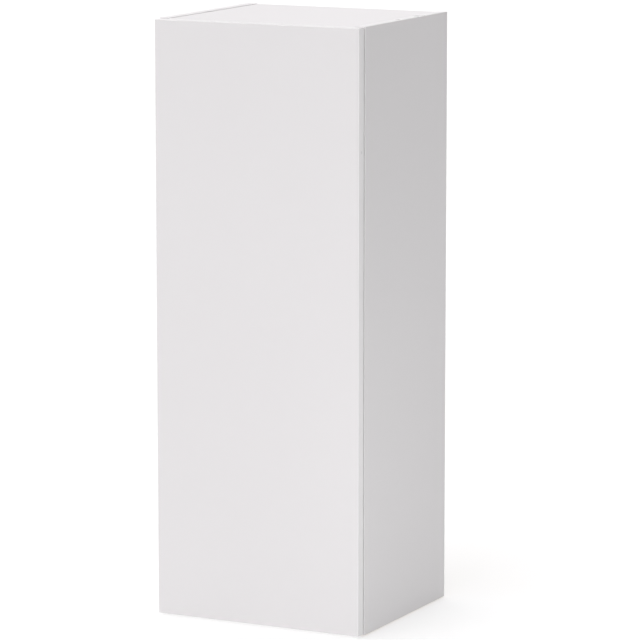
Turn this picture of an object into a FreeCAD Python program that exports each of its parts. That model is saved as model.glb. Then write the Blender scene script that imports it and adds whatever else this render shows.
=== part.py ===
import FreeCAD, Part
import os

V = FreeCAD.Vector
X, Y, Z = V(1, 0, 0), V(0, 1, 0), V(0, 0, 1)

# Storage plinth with a full-overlay push-to-open door. Millimetres, +Z up, front faces -Y,
# origin on the floor at the middle of the footprint.

# ---- driving dimensions -------------------------------------------------------------
height = 1000.0          # floor to the top edge of the side panels
width = 375.0            # outside of the two side panels
depth = 330.0            # front of the door to the back edge of the side panels
board = 18.0             # thickness of every melamine board
back_sheet = 3.0         # thickness of the hardboard back
band = 1.0               # thickness of the edge bands
band_round = 0.8         # rounding on the bands' outer edges
reveal = 1.3             # carcass showing past the door on every side
door_gap = 2.0           # between the door and the front of the carcass
top_setdown = 1.0        # top panel lies this far below the side panels' edges
floor_gap = 2.0          # side panels stand this far off the floor, on the feet
base_height = 38.0       # room under the bottom panel for the feet
shelf_count = 2
door_swing_edge = 6.35   # hinge axis in from the door's hinge-side edge
door_swing_depth = 10.0  # hinge axis in from the door's back face
hinge_inset = 100.0      # hinge centres in from the door's ends
latch_travel = 20.0      # how far the sprung plunger comes out

# ---- clearances ---------------------------------------------------------------------
running = 0.05           # radial, for turning and sliding pieces
loose = 0.1              # between pieces that only rest or close on each other
shelf_play = 1.0         # each side of a shelf

# ---- derived planes -----------------------------------------------------------------
x_out = width / 2
x_in = x_out - board
y_front = -depth / 2
y_door_back = y_front + board
y_case = y_door_back + door_gap
y_back = depth / 2
z_low = floor_gap
z_floor_lo = z_low + base_height
z_floor_hi = z_floor_lo + board
z_top_hi = height - top_setdown
z_top_lo = z_top_hi - board
door_edge = x_out - reveal
z_door_lo, z_door_hi = z_low + reveal, height - reveal

groove_depth, groove_setback = 8.0, 12.0
y_groove = y_back - groove_setback - back_sheet
groove_width = back_sheet + loose


def box(x, y, z):
    """Block between (low, high) pairs, given in any order."""
    (xa, xb), (ya, yb), (za, zb) = sorted(x), sorted(y), sorted(z)
    return Part.makeBox(xb - xa, yb - ya, zb - za, V(xa, ya, za))


def rod(start, axis, length, radius):
    return Part.makeCylinder(radius, length, V(*start), axis)


def fuse(parts):
    return parts[0].multiFuse(parts[1:]).removeSplitter() if len(parts) > 1 else parts[0]


def soften(shape, wanted, radius):
    """Round the straight edges whose middle point satisfies wanted(x, y, z)."""
    edges = []
    for e in shape.Edges:
        c = e.CenterOfMass
        if wanted(c.x, c.y, c.z):
            edges.append(e)
    return shape.makeFillet(radius, edges)


def near(a, b):
    return abs(a - b) < 1e-6


nodes = {}                                   # node name -> solid or list of separate solids
cuts = {}                                    # board name -> bores and grooves to take out


def bore(name, shape):
    cuts.setdefault(name, []).append(shape)


def add(name, shape):
    nodes.setdefault(name, []).append(shape)


side_name = {-1: "side_panel_left", 1: "side_panel_right"}

# ---- boards of the carcass ----------------------------------------------------------
# The side panels run full height. Top and bottom panels sit between them. Every front
# edge carries a band, and so do the side panels' top edges.
for s in (-1, 1):
    add(side_name[s], box((s * x_in, s * x_out), (y_case + band, y_back), (z_low, height - band)))
    front = box((s * x_in, s * x_out), (y_case, y_case + band), (z_low, height - band))
    add("side_bands_front", soften(front, lambda x, y, z: near(y, y_case) and not near(z, height - band),
                                   band_round))
    top = box((s * x_in, s * x_out), (y_case, y_back), (height - band, height))
    add("side_bands_top", soften(top, lambda x, y, z: near(z, height), band_round))
    bore(side_name[s], box((s * x_in, s * (x_in + groove_depth)), (y_groove, y_groove + groove_width),
                           (z_floor_hi - groove_depth, z_top_lo + groove_depth)))

for name, lo, hi, groove_z in (("top_panel", z_top_lo, z_top_hi, (z_top_lo, z_top_lo + groove_depth)),
                               ("bottom_panel", z_floor_lo, z_floor_hi, (z_floor_hi - groove_depth, z_floor_hi))):
    add(name, box((-x_in, x_in), (y_case + band, y_back), (lo, hi)))
    strip = box((-x_in, x_in), (y_case, y_case + band), (lo, hi))
    add("panel_bands", soften(strip, lambda x, y, z: near(y, y_case) and near(x, 0), band_round))
    bore(name, box((-x_in, x_in), (y_groove, y_groove + groove_width), groove_z))

# The back sheet slides in the grooves of all four boards.
tongue = groove_depth - 0.5
add("back_panel", box((-x_in - tongue, x_in + tongue), (y_groove, y_groove + back_sheet),
                      (z_floor_hi - tongue, z_top_lo + tongue)))

# Rails under the bottom panel close the base at the front and the back.
rail_front_y = (y_case + band, y_case + band + board)
rail_back_y = (y_back - 2 - board, y_back - 2)
for name, span in (("base_rail_front", rail_front_y), ("base_rail_back", rail_back_y)):
    add(name, box((-x_in, x_in), span, (z_low, z_floor_lo)))

# ---- cam fasteners and dowels -------------------------------------------------------
# Two cams and two dowels at each end of the top and bottom panels. Cam discs are let
# into the undersides. The bolts screw into the side panels.
cam_reach, cam_r, cam_deep = 34.0, 7.5, board / 2 + 4.5
dowel_r, dowel_in_side, dowel_in_end = 4.0, 10.0, 24.0
fastener_y = (y_case + 85, y_back - 95)


def cam_disc(x, y, z, s):
    disc = rod((x, y, z), Z, cam_deep - 2 * loose, cam_r - running)
    slot = box((x - s * 4, x + s * (cam_r + 1)), (y - 4.1, y + 4.1), (z + board / 2 - 4.1, z + cam_deep))
    cross = [box((x - 3.5, x + 3.5), (y - 0.7, y + 0.7), (z - 1, z + 3)),
             box((x - 0.7, x + 0.7), (y - 3.5, y + 3.5), (z - 1, z + 3))]
    return disc.cut([slot] + cross)


for s in (-1, 1):
    side, out = side_name[s], X * s
    for panel, z in (("top_panel", z_top_lo), ("bottom_panel", z_floor_lo)):
        mid = z + board / 2
        for y in fastener_y:
            add("cam_bolts", fuse([rod((s * x_in, y, mid), out, 11, 2.5),
                                   rod((s * x_in, y, mid), -out, 9, 3.5),
                                   rod((s * x_in, y, mid), -out, 30, 2.4),
                                   rod((s * (x_in - 30), y, mid), -out, 4.5, 3.6)]))
            bore(side, rod((s * x_in, y, mid), out, 11, 2.5))
            bore(panel, rod((s * x_in, y, mid), -out, cam_reach, 4))
            bore(panel, rod((s * (x_in - cam_reach), y, z), Z, cam_deep, cam_r))
            add("cam_discs", cam_disc(s * (x_in - cam_reach), y, z + loose, s))
            if panel == "top_panel":
                cap = rod((s * (x_in - cam_reach), y, z - 1), Z, 1, 8.5)
                add("cam_caps", soften(cap, lambda a, b, c: near(c, z_top_lo - 1), 0.4))
            add("dowels", rod((s * (x_in + dowel_in_side), y + 32, mid), -out, dowel_in_side + dowel_in_end, dowel_r))
            bore(side, rod((s * x_in, y + 32, mid), out, dowel_in_side, dowel_r))
            bore(panel, rod((s * x_in, y + 32, mid), -out, dowel_in_end + 1, dowel_r))
    for rail, span in (("base_rail_front", rail_front_y), ("base_rail_back", rail_back_y)):
        y, mid = sum(span) / 2, z_low + base_height / 2
        add("dowels", rod((s * (x_in + dowel_in_side), y, mid), -out, dowel_in_side + dowel_in_end, dowel_r))
        bore(side, rod((s * x_in, y, mid), out, dowel_in_side, dowel_r))
        bore(rail, rod((s * x_in, y, mid), -out, dowel_in_end + 1, dowel_r))

# ---- shelves on pins ----------------------------------------------------------------
# Each shelf lies on four flat-topped pins. The side panels have two spare rows of holes
# above and below each shelf, on the 32 mm pitch.
pin_r, pin_in, pin_nose, pin_flat = 2.5, 8.0, 8.0, 2.5
pin_rows = (y_case + 37, y_groove - 45)
shelf_y = (y_case + 12, y_groove - 3)
shelf_names = ("shelf_lower", "shelf_upper")
for i in range(shelf_count):
    z_shelf = z_floor_hi + (z_top_lo - z_floor_hi) * (i + 1) / (shelf_count + 1) - board / 2
    xs = x_in - shelf_play
    add(shelf_names[i], box((-xs, xs), (shelf_y[0] + band, shelf_y[1]), (z_shelf, z_shelf + board)))
    strip = box((-xs, xs), (shelf_y[0], shelf_y[0] + band), (z_shelf, z_shelf + board))
    add("shelf_bands", soften(strip, lambda x, y, z: near(y, shelf_y[0]) and near(x, 0), band_round))
    for s in (-1, 1):
        for y in pin_rows:
            zc = z_shelf - pin_flat
            nose = rod((s * x_in, y, zc), X * -s, pin_nose, 3.5).cut(
                box((s * x_in, s * (x_in - pin_nose)), (y - 4, y + 4), (z_shelf, z_shelf + 4)))
            add("shelf_pins", fuse([nose, rod((s * x_in, y, zc), X * s, pin_in, pin_r - running)]))
            for step in range(-2, 3):
                bore(side_name[s], rod((s * x_in, y, zc + 32 * step), X * s, pin_in + 1, pin_r))

# ---- levelling feet -----------------------------------------------------------------
# A nylon socket under each corner of the bottom panel guides a screw with a pad. Fully
# screwed in, the pad stops against the socket. A hole above each lets a hex key in.
pad_high, pad_r, spindle_r = 6.0, 16.0, 5.0
socket_half = 18.0
foot_x = x_in - 36
foot_y = {"front": rail_front_y[1] + 3 + socket_half, "back": rail_back_y[0] - 3 - socket_half}
for row in ("front", "back"):
    for s, hand in ((-1, "left"), (1, "right")):
        x, y = s * foot_x, foot_y[row]
        column = rod((x, y, pad_high), Z, z_floor_lo - pad_high, socket_half - 2)
        flange = box((x - 28, x + 28), (y - 15, y + 15), (z_floor_lo - 4, z_floor_lo))
        socket = fuse([column, flange]).cut(rod((x, y, pad_high), Z, z_floor_lo, spindle_r + running))
        for dx in (-23, 23):
            socket = socket.cut(rod((x + dx, y, z_floor_lo - 5), Z, 6, 2))
            add("foot_socket_screws", fuse([rod((x + dx, y, z_floor_lo - 4 - 2.4), Z, 2.4, 4),
                                            rod((x + dx, y, z_floor_lo - 4), Z, 16, 2)]))
            bore("bottom_panel", rod((x + dx, y, z_floor_lo), Z, 12, 2))
        add("foot_sockets", socket)
        spindle = rod((x, y, 3), Z, z_floor_lo - 4 - 3, spindle_r)
        turn = [FreeCAD.Rotation(Z, 60 * k).multVec(V(2.9, 0, 0)) for k in range(7)]
        hexagon = Part.makePolygon([V(x, y, z_floor_lo - 10) + t for t in turn])
        spindle = spindle.cut(Part.Face(hexagon).extrude(V(0, 0, 10)))
        add("foot_spindle_%s_%s" % (row, hand), spindle)
        pad = rod((x, y, 0), Z, pad_high, pad_r)
        pad = soften(pad, lambda a, b, c: near(c, 0) or near(c, pad_high), 1.5)
        add("foot_pad_%s_%s" % (row, hand), pad.cut(rod((x, y, 3), Z, pad_high, spindle_r)))
        bore("bottom_panel", rod((x, y, z_floor_lo), Z, board, 5.5))
        cap = soften(rod((x, y, z_floor_hi), Z, 1.2, 8.5), lambda a, b, c: near(c, z_floor_hi + 1.2), 0.6)
        add("foot_access_caps", fuse([cap, rod((x, y, z_floor_hi - 8), Z, 8, 5.5 - running)]))

# ---- door ---------------------------------------------------------------------------
core = door_edge - band
add("door_panel", box((-core, core), (y_front, y_door_back), (z_door_lo + band, z_door_hi - band)))
for s in (-1, 1):
    strip = box((s * core, s * door_edge), (y_front, y_door_back), (z_door_lo, z_door_hi))
    add("door_bands_sides", soften(strip, lambda x, y, z: near(x, s * door_edge), band_round))
for lo, hi, outer in ((z_door_lo, z_door_lo + band, z_door_lo), (z_door_hi - band, z_door_hi, z_door_hi)):
    strip = box((-core, core), (y_front, y_door_back), (lo, hi))
    add("door_bands_ends", soften(strip, lambda x, y, z: near(z, outer) and near(x, 0), band_round))

# ---- single-pivot concealed hinges --------------------------------------------------
# The cup is let into the door. A gooseneck arm on the side panel reaches in to its pin.
swing_x = -door_edge + door_swing_edge
swing_y = y_door_back - door_swing_depth
cup_r, cup_deep, cup_wall, cup_margin = 17.5, 13.0, 0.7, 3.0
cup_x = -door_edge + cup_margin + cup_r
hinge_pin_r, eye_r, eye_half = 1.25, 2.0, 4.0
arm_thick, arm_lift = 2.0, 10.5
plate_y = y_case + 37
face = -x_in


def neck(points, z, half, thick):
    """Flat bar standing on edge that follows points in plan, with rounded bends."""
    parts = []
    for (xa, ya), (xb, yb) in zip(points, points[1:]):
        run = V(xb - xa, yb - ya, 0)
        side = V(-run.y, run.x, 0).normalize() * (thick / 2)
        a, b = V(xa, ya, z - half), V(xb, yb, z - half)
        outline = Part.makePolygon([a + side, b + side, b - side, a - side, a + side])
        parts.append(Part.Face(outline).extrude(V(0, 0, 2 * half)))
        parts.append(rod((xb, yb, z - half), Z, 2 * half, thick / 2))
    return fuse(parts)


for z in (z_door_lo + hinge_inset, z_door_hi - hinge_inset):
    # cup with a flange on the door's back, its pin across the side nearest the edge
    shell = rod((cup_x, y_door_back, z), -Y, cup_deep - loose, cup_r - running)
    ears = [box((cup_x + 3.5, cup_x + 16), (y_door_back, y_door_back + 1), (z - 22.5, z + 22.5))]
    ears += [rod((cup_x + 9.5, y_door_back, z + dz), Y, 1, 6.5) for dz in (-22.5, 22.5)]
    flange = fuse([rod((cup_x, y_door_back, z), Y, 1, cup_r + 0.5)] + ears)
    hollow = rod((cup_x, y_door_back + 2, z), -Y, cup_deep - loose - cup_wall + 2, cup_r - running - cup_wall)
    pin_half = 8.0
    pin = rod((swing_x, swing_y, z - pin_half), Z, 2 * pin_half, hinge_pin_r)
    bosses = [rod((swing_x, swing_y, z + d * (eye_half + 0.4)), Z * d, 6, eye_r).common(shell) for d in (-1, 1)]
    cup = fuse([fuse([shell, flange]).cut([hollow])] + bosses)
    cup = cup.cut([pin] + [rod((cup_x + 9.5, y_door_back - 1, z + dz), Y, 3, 1.75) for dz in (-22.5, 22.5)])
    add("hinge_cups", cup)
    add("hinge_pins", pin)
    bore("door_panel", rod((cup_x, y_door_back, z), -Y, cup_deep, cup_r))
    for dz in (-22.5, 22.5):
        add("hinge_cup_screws", fuse([
            soften(rod((cup_x + 9.5, y_door_back + 1, z + dz), Y, 2, 3.5),
                   lambda a, b, c: near(b, y_door_back + 3), 0.8),
            rod((cup_x + 9.5, y_door_back + 1, z + dz), -Y, 13, 1.75)]))
        bore("door_panel", rod((cup_x + 9.5, y_door_back, z + dz), -Y, 12, 1.75))

    # cross-shaped mounting plate with a rail for the arm
    web = face + arm_lift - arm_thick
    wing = box((face, face + 2), (plate_y - 8, plate_y + 8), (z - 25, z + 25))
    rail = box((face, web), (y_case + 10, y_case + 60), (z - 6.5, z + 6.5))
    plate = soften(fuse([wing, rail]),
                   lambda a, b, c: near(a, face + 1) and near(abs(c - z), 25), 4)
    for dz in (-16, 16):
        plate = plate.cut([rod((face - 1, plate_y, z + dz), X, 4, 3.15)])
        add("hinge_plate_screws", fuse([
            soften(rod((face + 2, plate_y, z + dz), X, 2.2, 5), lambda a, b, c: near(a, face + 4.2), 0.9),
            rod((face + 2, plate_y, z + dz), -X, 13, 3.15)]))
        bore("side_panel_left", rod((face, plate_y, z + dz), -X, 12, 3.15))

    # gooseneck arm: eye on the pin, bend out of the cup, channel over the rail
    centre = web + arm_thick / 2
    path = [(swing_x, swing_y), (swing_x + 10.8, swing_y), (swing_x + 14.6, swing_y + 1.6),
            (centre - 1.5, swing_y + 6.1), (centre, y_case - 0.5), (centre, y_case + 12)]
    bar = neck(path, z, eye_half, arm_thick)
    eye = rod((swing_x, swing_y, z - eye_half), Z, 2 * eye_half, eye_r)
    top = box((web, web + arm_thick), (y_case + 6, y_case + 60), (z - 8, z + 8))
    cheeks = [box((face + 3, web + arm_thick), (y_case + 6, y_case + 60), (z + d * 6.6, z + d * 8))
              for d in (-1, 1)]
    clear_wing = box((face, face + 5), (plate_y - 9, plate_y + 9), (z - 9, z + 9))
    arm = fuse([bar, eye, top] + cheeks)
    arm = arm.cut([rod((swing_x, swing_y, z - 8), Z, 16, hinge_pin_r + running), clear_wing])
    screws = ((y_case + 20, 2.0, 3.0, 1.6), (y_case + 52, 2.5, 4.2, 2.6))
    for y, shank, head, tall in screws:
        hole = rod((web - 5, y, z), X, 8, shank)
        arm, plate = arm.cut(hole), plate.cut(hole)
        add("hinge_arm_screws", fuse([
            soften(rod((web + arm_thick, y, z), X, tall, head),
                   lambda a, b, c: near(a, web + arm_thick + tall), 0.6),
            rod((web - 5, y, z), X, 5 + arm_thick, shank)]))
    add("hinge_arms", arm)
    add("hinge_plates", plate)

# ---- push-to-open latch -------------------------------------------------------------
# Housing on the right side panel. A sprung plunger with a magnet meets the strike plate.
# The spring is a row of rings joined by short wires, as long as the coil at rest.
latch_z = (z_floor_hi + z_top_lo) / 2
latch_half, latch_long, latch_bore = 8.0, 74.0, 4.6
latch_x = x_in - latch_half
latch_y = y_case + 0.5
strike_thick = 1.0
tip_y = y_door_back + strike_thick + loose
magnet_long, plunger_long = 4.0, 42.0
plunger_y = tip_y + magnet_long
bore_long = plunger_y + plunger_long + latch_travel + 6 - latch_y
body = box((x_in - 2 * latch_half, x_in), (latch_y, latch_y + latch_long),
           (latch_z - latch_half, latch_z + latch_half))
body = soften(body, lambda a, b, c: near(a, x_in - 2 * latch_half), 1.5)
tabs = []
for dy, dz in ((12, 12.5), (62, -12.5)):
    tabs.append(box((x_in - 3, x_in), (latch_y + dy - 6, latch_y + dy + 6), (latch_z, latch_z + dz * 1.4)))
housing = fuse([body] + tabs).cut(rod((latch_x, latch_y - 1, latch_z), Y, bore_long + 1, latch_bore))
for dy, dz in ((12, 12.5), (62, -12.5)):
    at = (x_in - 3, latch_y + dy, latch_z + dz)
    housing = housing.cut(rod((at[0] - 1, at[1], at[2]), X, 6, 1.75))
    add("latch_screws", fuse([soften(rod(at, -X, 2, 3.2), lambda a, b, c: near(a, x_in - 5), 0.8),
                              rod(at, X, 15, 1.75)]))
    bore("side_panel_right", rod((x_in, at[1], at[2]), X, 12, 1.75))
add("latch_housing", housing)
add("latch_plunger", rod((latch_x, plunger_y, latch_z), Y, plunger_long, latch_bore - running))
magnet = rod((latch_x, tip_y, latch_z), Y, magnet_long, 4)
add("latch_magnet", soften(magnet, lambda a, b, c: near(b, tip_y), 0.5))

coil_lo, coil_hi = plunger_y + plunger_long, latch_y + bore_long
wire, coil_r, turns = 0.35, 3.2, 7
pitch = (coil_hi - coil_lo - 2 * wire) / turns
coil = []
for k in range(turns + 1):
    y = coil_lo + wire + k * pitch
    coil.append(Part.makeTorus(coil_r, wire, V(latch_x, y, latch_z), Y))
    if k < turns:
        coil.append(rod((latch_x, y, latch_z + (-1) ** k * coil_r), Y, pitch, 0.8 * wire))
spring = fuse(coil)
add("latch_spring", spring)

plate = rod((latch_x, y_door_back, latch_z), Y, strike_thick, 9)
plate = soften(plate, lambda a, b, c: near(b, y_door_back + strike_thick), 0.4)
sink = Part.makeCone(1.75, 3.0, strike_thick, V(latch_x, y_door_back, latch_z), Y)
add("strike_plate", plate.cut(sink))
add("strike_screw", fuse([sink, rod((latch_x, y_door_back, latch_z), -Y, 12, 1.75)]))
bore("door_panel", rod((latch_x, y_door_back, latch_z), -Y, 12, 1.75))

# Clear domes on the door's back close against the right side panel's front edge.
for z in (z_door_lo + 60, z_door_hi - 60):
    dome = rod((x_out - board / 2, y_door_back, z), Y, door_gap - loose, 4.5)
    add("door_bumpers", soften(dome, lambda a, b, c: near(b, y_door_back + door_gap - loose), 1.5))

# ---- wall bracket -------------------------------------------------------------------
# Steel angle under the top panel. Its hole and the one in the back take a wall screw.
wall_hole_z = z_top_lo - 18
angle = fuse([box((-15, 15), (y_groove - 30, y_groove), (z_top_lo - 2, z_top_lo)),
              box((-15, 15), (y_groove - 2, y_groove), (z_top_lo - 32, z_top_lo))])
angle = angle.cut([rod((0, y_groove - 4, wall_hole_z), Y, 6, 3.25), rod((0, y_groove - 18, z_top_lo - 3), Z, 4, 2)])
add("wall_bracket", angle)
bore("back_panel", rod((0, y_groove - 1, wall_hole_z), Y, back_sheet + 2, 3.5))
bore("top_panel", rod((0, y_groove - 18, z_top_lo), Z, 13, 2))
add("wall_bracket_screw", fuse([rod((0, y_groove - 18, z_top_lo - 4.2), Z, 2.2, 4),
                                rod((0, y_groove - 18, z_top_lo - 2.2), Z, 15, 2)]))

# ---- export -------------------------------------------------------------------------
os.makedirs("parts", exist_ok=True)
for name, solids in nodes.items():
    if name in cuts:
        solids = [solid.cut(cuts[name]) for solid in solids]
    shape = solids[0] if len(solids) == 1 else Part.makeCompound(solids)
    shape.exportStep("parts/%s.step" % name)
    print(name, len(shape.Solids), shape.isValid(), [round(v, 1) for v in (
        shape.BoundBox.XMin, shape.BoundBox.XMax, shape.BoundBox.YMin, shape.BoundBox.YMax,
        shape.BoundBox.ZMin, shape.BoundBox.ZMax)])
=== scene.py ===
import bmesh
import bpy
import math
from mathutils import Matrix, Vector


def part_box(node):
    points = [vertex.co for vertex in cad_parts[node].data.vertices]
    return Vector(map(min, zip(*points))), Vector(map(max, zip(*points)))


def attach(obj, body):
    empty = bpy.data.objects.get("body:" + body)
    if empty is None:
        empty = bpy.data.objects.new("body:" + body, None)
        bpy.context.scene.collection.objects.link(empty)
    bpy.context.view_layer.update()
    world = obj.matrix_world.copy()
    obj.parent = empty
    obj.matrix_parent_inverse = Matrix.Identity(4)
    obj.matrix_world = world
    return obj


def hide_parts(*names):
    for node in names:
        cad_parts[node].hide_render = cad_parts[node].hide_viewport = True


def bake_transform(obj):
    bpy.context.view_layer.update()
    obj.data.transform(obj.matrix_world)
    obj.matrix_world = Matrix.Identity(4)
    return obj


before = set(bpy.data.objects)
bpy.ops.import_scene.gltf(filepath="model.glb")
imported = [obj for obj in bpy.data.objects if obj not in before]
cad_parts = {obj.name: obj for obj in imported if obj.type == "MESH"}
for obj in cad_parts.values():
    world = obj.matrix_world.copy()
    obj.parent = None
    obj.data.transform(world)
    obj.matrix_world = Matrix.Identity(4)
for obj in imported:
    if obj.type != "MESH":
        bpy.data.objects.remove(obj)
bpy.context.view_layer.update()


# ---- studio ------------------------------------------------------------------------------
# A white floor under a soft sky. The sky is bright overhead, dimmer on the left and dark on
# the right. A low, wide lamp on the right lifts the foot of that side. The lens is long.
def put(tree, kind, sources=None, **settings):
    """A node. sources gives each input, by name or number, a value or another node's output."""
    node = tree.nodes.new(kind)
    for key, value in settings.items():
        setattr(node, key, value)
    for key, source in (sources or {}).items():
        if isinstance(source, bpy.types.NodeSocket):
            tree.links.new(source, node.inputs[key])
        else:
            node.inputs[key].default_value = source
    return node


def reckon(tree, operation, *sources, clamp=False):
    """One step of arithmetic, on numbers or other nodes' outputs."""
    node = put(tree, "ShaderNodeMath", dict(enumerate(sources)), operation=operation, use_clamp=clamp)
    return node.outputs[0]


def between(tree, factor, a, b, colour=False):
    """A mix of two numbers, or of two colours."""
    kind, first, result = ("RGBA", 6, 2) if colour else ("FLOAT", 2, 0)
    return put(tree, "ShaderNodeMix", {0: factor, first: a, first + 1: b}, data_type=kind).outputs[result]


def spread(tree, value, low, high, to_low=0.0, to_high=1.0, **settings):
    """The value, with low to high stretched to to_low to to_high."""
    return put(tree, "ShaderNodeMapRange", {"Value": value, "From Min": low, "From Max": high,
                                            "To Min": to_low, "To Max": to_high}, **settings).outputs[0]


scene = bpy.context.scene
scene.view_settings.view_transform = "Standard"

floor_reach = 40.0
floor_mesh = bpy.data.meshes.new("floor")
floor_mesh.from_pydata([(-floor_reach, -floor_reach, 0), (floor_reach, -floor_reach, 0),
                        (floor_reach, floor_reach, 0), (-floor_reach, floor_reach, 0)], [], [(0, 1, 2, 3)])
floor = bpy.data.objects.new("floor", floor_mesh)
scene.collection.objects.link(floor)

floor_paper = bpy.data.materials.new("floor_paper")
floor_paper.use_nodes = True
floor_tree = floor_paper.node_tree
floor_shader = floor_tree.nodes["Principled BSDF"]
floor_point = put(floor_tree, "ShaderNodeTexCoord").outputs["Object"]
floor_tooth = put(floor_tree, "ShaderNodeTexNoise", {"Vector": floor_point, "Scale": 300.0}).outputs["Fac"]
floor_tree.links.new(spread(floor_tree, floor_tooth, 0.0, 1.0, 0.49, 0.51), floor_shader.inputs["Base Color"])
for label, value in (("Roughness", 0.9), ("Specular IOR Level", 0.1), ("Emission Color", (1, 1, 1, 1)),
                     ("Emission Strength", 0.55)):
    floor_shader.inputs[label].default_value = value
floor_mesh.materials.append(floor_paper)

sky = bpy.data.worlds.new("studio_sky")
sky.use_nodes = True
scene.world = sky
sky_tree = sky.node_tree
sky_lean, sky_middle = (0.2, -0.03, 1.87), 0.555
sky_way = put(sky_tree, "ShaderNodeTexCoord").outputs["Generated"]
sky_facing = put(sky_tree, "ShaderNodeVectorMath", {0: sky_way, 1: sky_lean}, operation="DOT_PRODUCT")
sky_level = reckon(sky_tree, "ADD", sky_facing.outputs["Value"], sky_middle)
sky_x = put(sky_tree, "ShaderNodeSeparateXYZ", {0: sky_way}).outputs["X"]
sky_right = spread(sky_tree, sky_x, -0.02, 0.52, 1.0, 0.0, interpolation_type="SMOOTHSTEP")
sky_left = spread(sky_tree, sky_x, -1.0, -0.3, 0.35)
sky_shaped = reckon(sky_tree, "MULTIPLY", sky_level, reckon(sky_tree, "MULTIPLY", sky_right, sky_left))
sky_eye = put(sky_tree, "ShaderNodeLightPath").outputs["Is Camera Ray"]   # the lens sees plain white
sky_background = sky_tree.nodes["Background"]
sky_tree.links.new(between(sky_tree, sky_eye, sky_shaped, 1.0), sky_background.inputs["Strength"])
sky_background.inputs["Color"].default_value = (1, 0.988, 0.994, 1)

lamp_data = bpy.data.lights.new("low_side_lamp", "AREA")
lamp_data.shape, lamp_data.size, lamp_data.size_y, lamp_data.energy = "RECTANGLE", 0.8, 0.15, 1.2
lamp = bpy.data.objects.new("low_side_lamp", lamp_data)
lamp.location = (0.95, -0.50, 0.12)
lamp.rotation_euler = (Vector((0.1, -0.25, 0.12)) - lamp.location).to_track_quat("-Z", "Y").to_euler()
lamp.visible_camera = False
scene.collection.objects.link(lamp)

lens = bpy.data.cameras.new("camera")
lens.lens, lens.sensor_width, lens.clip_end = 222.2, 36, 200
camera = bpy.data.objects.new("camera", lens)
camera.location = (2.955, -5.799, 1.579)
camera.rotation_euler = (math.radians(90 - 9.50), 0, math.radians(26.74))
scene.collection.objects.link(camera)
scene.camera = camera


# ---- boards ------------------------------------------------------------------------------
# Particle board, 18 mm, faced with white melamine film on its two large faces. The sawn
# edges and the drilled holes show the pressed chips, except where a band covers them.
def new_group(name, inputs, outputs):
    """A shader node group with its sockets, and its input and output nodes."""
    group = bpy.data.node_groups.new(name, "ShaderNodeTree")
    for label, kind, value in inputs:
        socket = group.interface.new_socket(label, in_out="INPUT", socket_type="NodeSocket" + kind)
        if value is not None:
            socket.default_value = value
    for label, kind in outputs:
        group.interface.new_socket(label, in_out="OUTPUT", socket_type="NodeSocket" + kind)
    return group, group.nodes.new("NodeGroupInput"), group.nodes.new("NodeGroupOutput")


# The film's finish: the fine peel left by the press plate, a faint cloud and hairline scuffs.
film, film_in, film_out = new_group(
    "pressed_film", [("Point", "Vector", None), ("Peel Scale", "Float", 480.0), ("Cloud Scale", "Float", 3)],
    [("Peel", "Float"), ("Cloud", "Float"), ("Scuff", "Float")])
film_point = film_in.outputs["Point"]
film_peel = put(film, "ShaderNodeTexNoise", {"Vector": film_point, "Detail": 3.0, "Roughness": 0.45,
                                             "Scale": film_in.outputs["Peel Scale"]})
film_cloud = put(film, "ShaderNodeTexNoise", {"Vector": film_point, "Detail": 4.0,
                                              "Scale": film_in.outputs["Cloud Scale"]})
film_long = put(film, "ShaderNodeMapping", {"Vector": film_point, "Rotation": (0.3, 0.5, 0.2),
                                            "Scale": (60.0, 60.0, 2.2)})
film_streak = put(film, "ShaderNodeTexNoise", {"Vector": film_long.outputs[0], "Scale": 3.0, "Detail": 2.0})
film_patch = put(film, "ShaderNodeTexNoise", {"Vector": film_point, "Scale": 5.0, "Detail": 1.0})
film_scuff = reckon(film, "MULTIPLY", spread(film, film_streak.outputs["Fac"], 0.66, 0.76),
                    spread(film, film_patch.outputs["Fac"], 0.5, 0.62))
for film_from, film_label in ((film_peel.outputs["Fac"], "Peel"), (film_cloud.outputs["Fac"], "Cloud"),
                              (film_scuff, "Scuff")):
    film.links.new(film_from, film_out.inputs[film_label])

# Rubbed edges: 1 at the edges of a block between Low and High, 0 further in, and ragged.
rubbed, rubbed_in, rubbed_out = new_group(
    "rubbed_edges", [("Point", "Vector", None), ("Low", "Vector", None), ("High", "Vector", None),
                     ("Reach", "Float", 0.003)], [("Mask", "Float")])
rubbed_point = rubbed_in.outputs["Point"]
rubbed_low = put(rubbed, "ShaderNodeVectorMath", {0: rubbed_point, 1: rubbed_in.outputs["Low"]},
                 operation="SUBTRACT")
rubbed_high = put(rubbed, "ShaderNodeVectorMath", {0: rubbed_in.outputs["High"], 1: rubbed_point},
                  operation="SUBTRACT")
rubbed_near = put(rubbed, "ShaderNodeVectorMath", {0: rubbed_low.outputs[0], 1: rubbed_high.outputs[0]},
                  operation="MINIMUM")
rubbed_axis = put(rubbed, "ShaderNodeSeparateXYZ", {0: rubbed_near.outputs[0]}).outputs
rubbed_from = reckon(rubbed, "MINIMUM", reckon(rubbed, "MAXIMUM", rubbed_axis[0], rubbed_axis[1]),
                     reckon(rubbed, "MINIMUM", reckon(rubbed, "MAXIMUM", rubbed_axis[0], rubbed_axis[2]),
                            reckon(rubbed, "MAXIMUM", rubbed_axis[1], rubbed_axis[2])))
rubbed_rag = put(rubbed, "ShaderNodeTexNoise", {"Vector": rubbed_point, "Scale": 90.0, "Detail": 3.0})
rubbed_reach = reckon(rubbed, "MULTIPLY", rubbed_in.outputs["Reach"],
                      reckon(rubbed, "MULTIPLY", rubbed_rag.outputs["Fac"], 2.0))
rubbed_share = reckon(rubbed, "DIVIDE", rubbed_from, rubbed_reach)
rubbed.links.new(reckon(rubbed, "SUBTRACT", 1.0, rubbed_share, clamp=True), rubbed_out.inputs["Mask"])

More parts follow.
